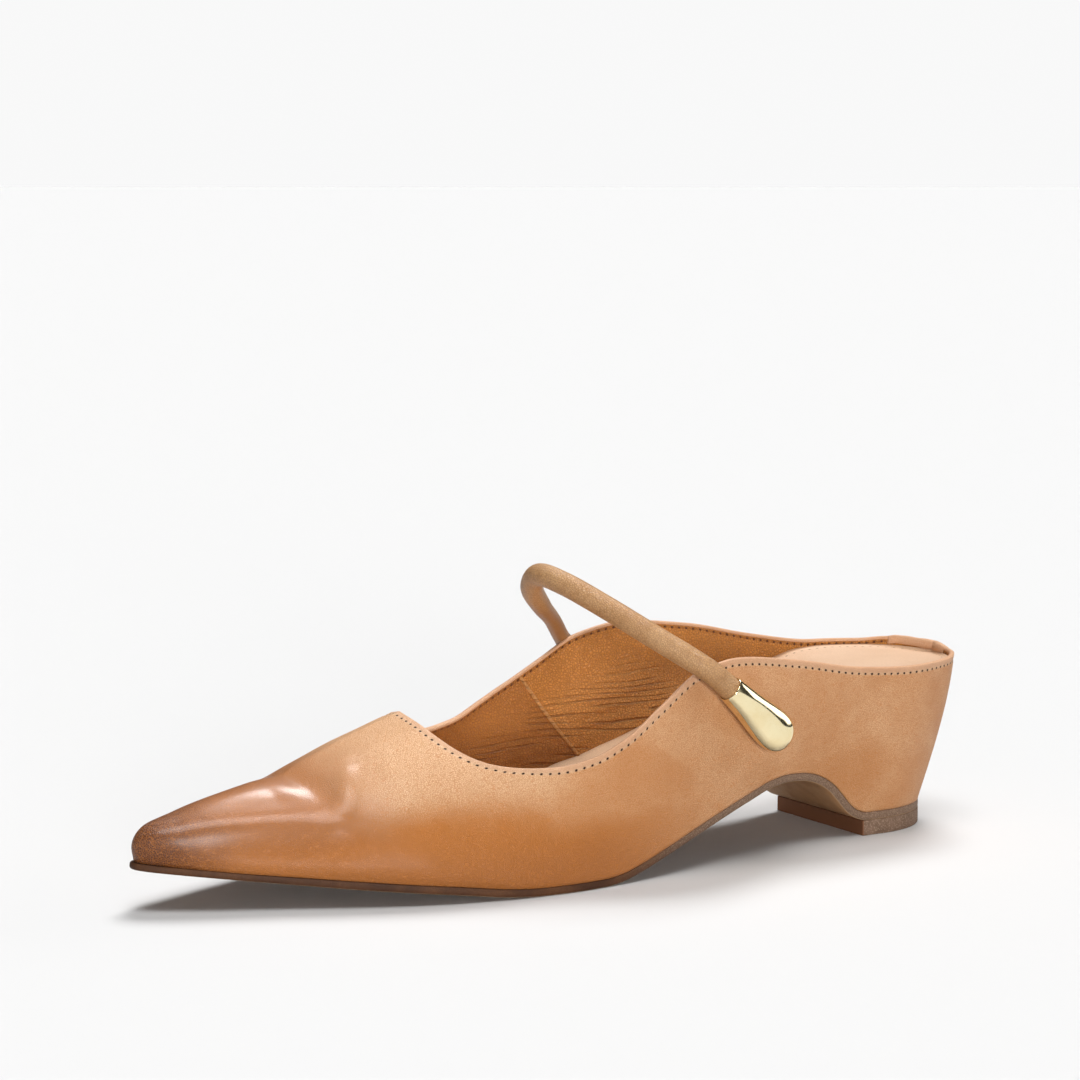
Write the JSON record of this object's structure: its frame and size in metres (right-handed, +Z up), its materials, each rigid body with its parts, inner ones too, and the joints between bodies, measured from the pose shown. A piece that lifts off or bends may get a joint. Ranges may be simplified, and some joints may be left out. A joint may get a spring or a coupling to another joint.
{
  "type": "mule shoe",
  "caption": "Left pointed-toe leather mule on a low wedge heel, open collar, rolled instep strap with two drop-shaped metal caps",
  "frame": {"origin": "middle of the bounding box on the floor", "axes": "+X to the toe, +Y to the wearer's left (outer side of this left shoe), +Z up, shoe standing on its heel and forefoot"},
  "size_m": [0.2588, 0.0812, 0.0822],
  "materials": {
    "upper_leather": "smooth tan leather with a light wax burnish, darker at the toe",
    "sole_leather": "dark brown dressed sole edge",
    "top_piece": "matt brown-grey walking piece",
    "wedge_core": "hidden moulded block",
    "insole_leather": "undyed smooth leather",
    "strap_leather": "rolled leather over a round core",
    "cap_metal": "polished pale gold"
  },
  "bodies": {
    "root": {"outsole": "sole_leather", "top_piece": "top_piece", "wedge_heel": "wedge_core", "insole": "insole_leather", "upper": "upper_leather", "back_tab": "upper_leather", "strap": "strap_leather", "cap_lateral": "cap_metal", "cap_medial": "cap_metal"}
  },
  "joints": []
}
